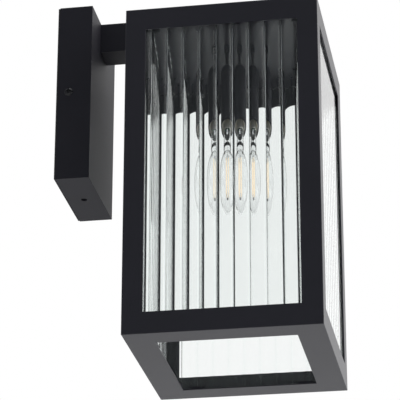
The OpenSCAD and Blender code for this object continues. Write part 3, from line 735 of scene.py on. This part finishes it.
bulbEdge = {"contact": 0.3 * mm, "insulator": 0.25 * mm, "driver": 0.15 * mm}
makeBulbGlass(bulbShape)
makeBulbBase(thread)
makeGlassMount(mountShape)
makeFilaments(filamentShape)
makeLeads(filamentShape, mountShape, leadShape)
softEdges("bulb_contact", bulbEdge["contact"], finish["solder"], "bulb_seat")
softEdges("bulb_insulator", bulbEdge["insulator"], finish["blackGlass"], "bulb")
softEdges("bulb_driver", bulbEdge["driver"], finish["board"], "bulb")
print("bulb made")

holderShape = {
    "cupWall": 1.0 * mm,
    "lip": 1.6 * mm,
    "hub": 4.0 * mm,
    "hubRadius": 6.65 * mm,
    "bore": 4.9 * mm,
    "bend": 2.4 * mm,  # outer radius of the bends at the cup's top and rim
    "hubFoot": 0.6 * mm,
    "hubEdge": 0.5 * mm,
    "boreEdge": 0.3 * mm,
    "steps": 96,
}
shellThread = {
    "pitch": 3.629 * mm,
    "height": 0.3 * mm,
    "wall": 0.4 * mm,
    "flange": 9.7 * mm,
    "bend": 0.8 * mm,
    "wallStart": 1.2 * mm,
    "threadStart": 1.1 * mm,  # the thread keeps this far from both ends
    "rows": 90,
    "steps": 96,
}
pipeThread = {
    "pitch": 0.94 * mm,
    "height": 0.35 * mm,
    "rowsPerTurn": 8,
    "bore": 3.3 * mm,
    "chamfer": 0.5 * mm,
    "threadStart": 0.4 * mm,
    "boreEdge": 0.3 * mm,
    "steps": 48,
}
connectorShape = {
    "ribs": 14,
    "ribHeight": 0.3 * mm,
    "ribStart": 4 * mm,  # length over which the ribs grow, above the tip
    "ribStop": 2 * mm,  # plain part at the mouth, and the length over which they fade before it
    "tip": 3.5 * mm,
    "mouthEdge": 0.5 * mm,
    "coneStop": 1 * mm,
    "bore": 3.9 * mm,
    "boreDepth": 6.5 * mm,
    "taper": 2 * mm,
    "core": 1.3 * mm,
    "coreDepth": 13.5 * mm,
    "steps": 112,
}


def arcPoints(centre, radius, start, stop, count=8):
    # points of a circle from one angle to another, in degrees
    turn = np.radians(np.linspace(start, stop, count))
    return np.stack([centre[0] + radius * np.cos(turn), centre[1] + radius * np.sin(turn)], axis=1)


def makeHolderCup(h):
    # cup drawn from sheet: quarter circles round its top edge and its turned-in rim, and a hub on top
    low, high = (np.array(corner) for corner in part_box("holder_cup"))
    r = float(high[0] - low[0]) / 2
    wall = h["cupWall"]
    top = float(high[2]) - h["hub"]
    hubTop = top + h["hub"]
    bottom = float(low[2])
    outer = h["bend"]
    profile = np.concatenate([
        arcPoints((r - h["lip"] + wall / 2, bottom + wall / 2), wall / 2, 90, 270),
        arcPoints((r - outer, bottom + outer), outer, 270, 360),
        arcPoints((r - outer, top - outer), outer, 0, 90),
        arcPoints((h["hubRadius"] + h["hubFoot"], top + h["hubFoot"]), h["hubFoot"], 270, 180, 5),
        arcPoints((h["hubRadius"] - h["hubEdge"], hubTop - h["hubEdge"]), h["hubEdge"], 0, 90, 5),
        [[h["bore"] + h["boreEdge"], hubTop], [h["bore"], hubTop - h["boreEdge"]], [h["bore"], top - wall]],
        arcPoints((r - outer, top - outer), outer - wall, 90, 0),
        arcPoints((r - outer, bottom + outer), outer - wall, 0, -90),
    ])
    verts, faces = revolved(profile, lampAxis, h["steps"], ring=True)
    meshObject("holderCup", verts, faces, finish["powder"], "fixture", "holder_cup", 50.0)


def makeHolderShell(t):
    # screw shell of the lampholder: both of its radii follow a cosine of height over pitch minus the angle,
    # so its thread is right-handed like the bulb's
    low, high = (np.array(corner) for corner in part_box("holder_shell"))
    outer = float(high[0] - low[0]) / 2
    z = np.linspace(low[2] + t["wallStart"], high[2] - t["wallStart"], t["rows"])
    edge = outer - t["wall"]

    def threadRise(angle, height):
        wave = 0.5 * (1 - np.cos(2 * np.pi * (height - low[2]) / t["pitch"] - angle))
        inside = (height > low[2] + t["threadStart"]) & (height < high[2] - t["threadStart"])
        return -t["height"] * wave * inside

    profile = np.concatenate([
        [[edge, low[2]], [outer, low[2]]],
        np.stack([np.full_like(z, outer), z], axis=1),
        arcPoints((outer - t["bend"], high[2] - t["bend"]), t["bend"], 0, 90, 6),
        [[t["flange"], high[2]], [t["flange"], high[2] - t["wall"]]],
        arcPoints((outer - t["bend"], high[2] - t["bend"]), t["bend"] - t["wall"], 90, 0, 6),
        np.stack([np.full_like(z, edge), z[::-1]], axis=1),
    ])
    verts, faces = revolved(profile, lampAxis, t["steps"], threadRise, ring=True)
    meshObject("holderShell", verts, faces, finish["brass"], "fixture", "holder_shell", 50.0)


def makeStem(t):
    # threaded pipe: its outer radius follows a cosine of height over pitch minus the angle
    low, high = (np.array(corner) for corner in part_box("stem"))
    outer = float(high[0] - low[0]) / 2
    rows = int((high[2] - low[2]) / t["pitch"] * t["rowsPerTurn"])
    z = np.linspace(low[2] + t["chamfer"], high[2] - t["chamfer"], rows)

    def threadRise(angle, height):
        wave = 0.5 * (1 - np.cos(2 * np.pi * (height - low[2]) / t["pitch"] - angle))
        inside = (height > low[2] + t["threadStart"]) & (height < high[2] - t["threadStart"])
        return -t["height"] * wave * inside

    profile = np.concatenate([
        [[outer - t["chamfer"], low[2]]],
        np.stack([np.full_like(z, outer), z], axis=1),
        [[outer - t["chamfer"], high[2]]],
        [[t["bore"] + t["boreEdge"], high[2]], [t["bore"], high[2] - t["boreEdge"]]],
        [[t["bore"], low[2] + t["boreEdge"]], [t["bore"] + t["boreEdge"], low[2]]],
    ])
    verts, faces = revolved(profile, lampAxis, t["steps"], threadRise, ring=True)
    meshObject("threadedStem", verts, faces, finish["powder"], "fixture", "stem", 40.0)


def makeConnectors(c):
    # two twist-on connectors: a cone with a rounded tip, whose ribs follow a cosine of the angle
    low, high = (np.array(corner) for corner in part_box("wire_connectors"))
    reach = float(high[1] - low[1]) / 2
    y = float(high[1] + low[1]) / 2
    tip = c["tip"]
    top = float(high[2])
    bottom = float(low[2])
    t = np.linspace(0, 1, 24)
    across = tip + (reach - tip - c["mouthEdge"]) * t
    cone = np.stack([across, bottom + tip + (top - bottom - tip - c["coneStop"]) * t], axis=1)
    hollow = [
        [c["bore"], top - c["boreDepth"]],
        [c["core"], top - c["boreDepth"] - c["taper"]],
        [c["core"], top - c["coreDepth"]],
        [pole, top - c["coreDepth"]],
    ]
    profile = np.concatenate([
        arcPoints((0, bottom + tip), tip, -89, -5, 10),
        cone,
        arcPoints((reach - c["mouthEdge"], top - c["mouthEdge"]), c["mouthEdge"], 10, 90, 5),
        [[c["bore"], top]],
        hollow,
    ])

    def rib(angle, height):
        grow = np.clip((height - bottom - tip) / c["ribStart"], 0, 1)
        fade = np.clip((top - c["ribStop"] - height) / c["ribStop"], 0, 1)
        return -c["ribHeight"] * (0.5 - 0.5 * np.cos(c["ribs"] * angle)) * (grow * fade)

    verts, faces = joined([
        lambda first, x=x: revolved(profile, (x, y), c["steps"], rib, first=first, plain=len(hollow))
        for x in (float(low[0] + reach), float(high[0] - reach))
    ])
    plastic = finish["connector"]
    meshObject("connectors", verts, faces, plastic, "fixture", "wire_connectors", 40.0)


def smoothWire(node, material):
    # a merged copy of a wire, rounded by one level of subdivision
    mesh = nodes[node].data.copy()
    work = bmesh.new()
    work.from_mesh(mesh)
    bmesh.ops.remove_doubles(work, verts=work.verts, dist=edgeRule["merge"])
    flat = math.radians(edgeRule["flat"] / 2)
    bmesh.ops.dissolve_limit(work, angle_limit=flat, verts=work.verts, edges=work.edges)
    work.to_mesh(mesh)
    work.free()
    mesh.materials.clear()
    mesh.materials.append(material)
    mesh.shade_smooth()
    piece = bpy.data.objects.new(node + "Round", mesh)
    scene.collection.objects.link(piece)
    smooth = piece.modifiers.new("round", "SUBSURF")
    smooth.levels = 1
    smooth.render_levels = 1
    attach(piece, "fixture")
    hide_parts(node)


hardware = {  # each node's edge rounding, finish and material slot
    "holder_body": (0.6 * mm, "ceramic", "ceramic_body"),
    "holder_contact": (0.15 * mm, "brass", "brass"),
    "stem_terminal": (0.15 * mm, "brass", "brass"),
    "ground_terminal": (0.15 * mm, "brass", "brass"),
    "wall_bracket": (0.3 * mm, "zinc", "zinc_steel"),
    "bracket_ears": (0.3 * mm, "zinc", "zinc_steel"),
    "arm_block": (0.3 * mm, "zinc", "zinc_steel"),
    "arm_nut": (0.3 * mm, "zinc", "zinc_steel"),
    "roof_washer": (0.3 * mm, "powder", "black_metal"),
    "roof_nut": (0.3 * mm, "powder", "black_metal"),
    "arm_screws": (0.12 * mm, "zinc", "zinc_steel"),
    "ground_screw": (0.15 * mm, "greenSteel", "green_screw"),
    "gasket": (0.3 * mm, "foam", "foam"),
}
makeHolderCup(holderShape)
makeHolderShell(shellThread)
makeStem(pipeThread)
makeConnectors(connectorShape)
for node, (width, look, slot) in hardware.items():
    softEdges(node, width, finish[look])
smoothWire("wire_live", finish["blackWire"])
smoothWire("wire_neutral", finish["whiteWire"])
smoothWire("wire_ground", finish["greenWire"])
print("hardware finished")


def makeFloor(s):
    size = s["floorSize"]
    z = s["floorHeight"]
    mesh = bpy.data.meshes.new("floor")
    corners = [(-size, -size, z), (size, -size, z), (size, size, z), (-size, size, z)]
    mesh.from_pydata(corners, [], [(0, 1, 2, 3)])
    floor = bpy.data.objects.new("floor", mesh)
    scene.collection.objects.link(floor)
    material, tree, shader, place = newMaterial("paleFloor")
    grain = addNoise(tree, place, 3.0)
    tone = s["floorColour"]
    lighter = tuple(c + s["floorFleck"] for c in tone)
    tree.links.new(addRamp(tree, grain.outputs["Fac"], tone, lighter), shader.inputs["Base Color"])
    shader.inputs["Roughness"].default_value = 0.9
    mesh.materials.append(material)


makeFloor(studio)
